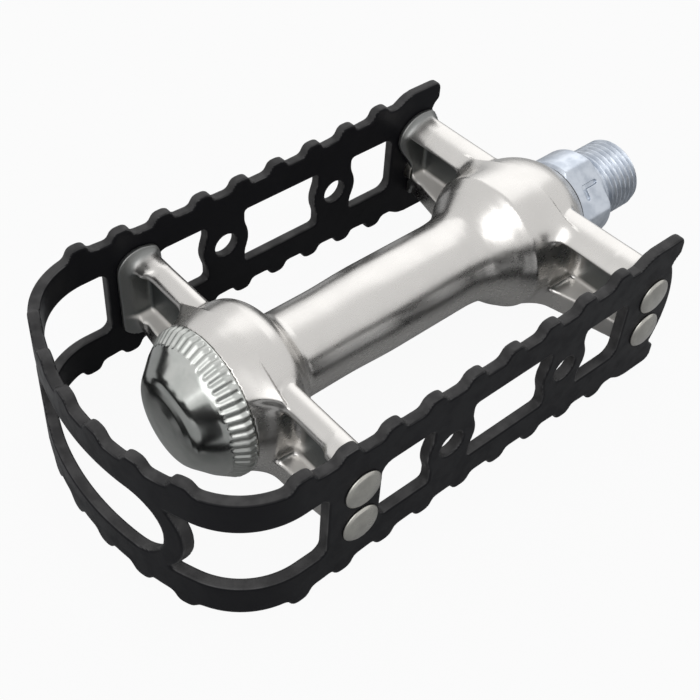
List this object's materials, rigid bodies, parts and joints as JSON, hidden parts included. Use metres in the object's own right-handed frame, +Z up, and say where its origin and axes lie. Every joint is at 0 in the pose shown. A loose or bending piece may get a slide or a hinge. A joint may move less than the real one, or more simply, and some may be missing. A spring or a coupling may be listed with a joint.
{
  "type": "bicycle pedal",
  "caption": "Platform pedal with a toothed strip cage, a cast barrel body, a fluted dust cap and a threaded spindle on ball bearings.",
  "frame": {"origin": "on the spindle axis, at the collar's face that meets the crank, where the crank thread starts", "axes": "+X runs out of the body along the spindle towards the crank, +Z points up out of the tread, and +Y completes the right-handed set"},
  "size_m": [0.1243, 0.064, 0.0302],
  "materials": {
    "cast_aluminium": "polished casting",
    "black_strip": "satin black",
    "bright_cap": "bright",
    "rivet_metal": "satin",
    "zinc_steel": "bright zinc plate",
    "bearing_steel": "hardened and ground",
    "seal_rubber": "matte"
  },
  "bodies": {
    "pedal": {"body": "cast_aluminium", "cage": "black_strip", "rivet_near_outboard_upper": "rivet_metal", "rivet_near_outboard_lower": "rivet_metal", "rivet_near_inboard_upper": "rivet_metal", "rivet_near_inboard_lower": "rivet_metal", "rivet_far_outboard_upper": "rivet_metal", "rivet_far_outboard_lower": "rivet_metal", "rivet_far_inboard_upper": "rivet_metal", "rivet_far_inboard_lower": "rivet_metal", "dust_cap": "bright_cap", "inboard_seal": "seal_rubber", "inboard_cup": "bearing_steel", "outboard_cup": "bearing_steel"},
    "spindle": {"spindle": "zinc_steel", "outboard_cone": "bearing_steel", "keyed_washer": "zinc_steel", "locknut": "zinc_steel"},
    "inboard_ball_ring": {"inboard_balls": "bearing_steel"},
    "outboard_ball_ring": {"outboard_balls": "bearing_steel"}
  },
  "joints": [
    {"name": "spindle_spin", "type": "hinge", "parent": "pedal", "child": "spindle", "pos_m": [0, 0, 0], "axis": [1, 0, 0], "continuous": true},
    {"name": "inboard_ball_orbit", "type": "hinge", "parent": "pedal", "child": "inboard_ball_ring", "pos_m": [-0.012, 0, 0], "axis": [1, 0, 0], "continuous": true},
    {"name": "outboard_ball_orbit", "type": "hinge", "parent": "pedal", "child": "outboard_ball_ring", "pos_m": [-0.08402, 0, 0], "axis": [1, 0, 0], "continuous": true}
  ],
  "couplings": [
    {"joint": "inboard_ball_orbit", "follows": "spindle_spin", "ratio": 0.4095},
    {"joint": "outboard_ball_orbit", "follows": "spindle_spin", "ratio": 0.4095}
  ]
}
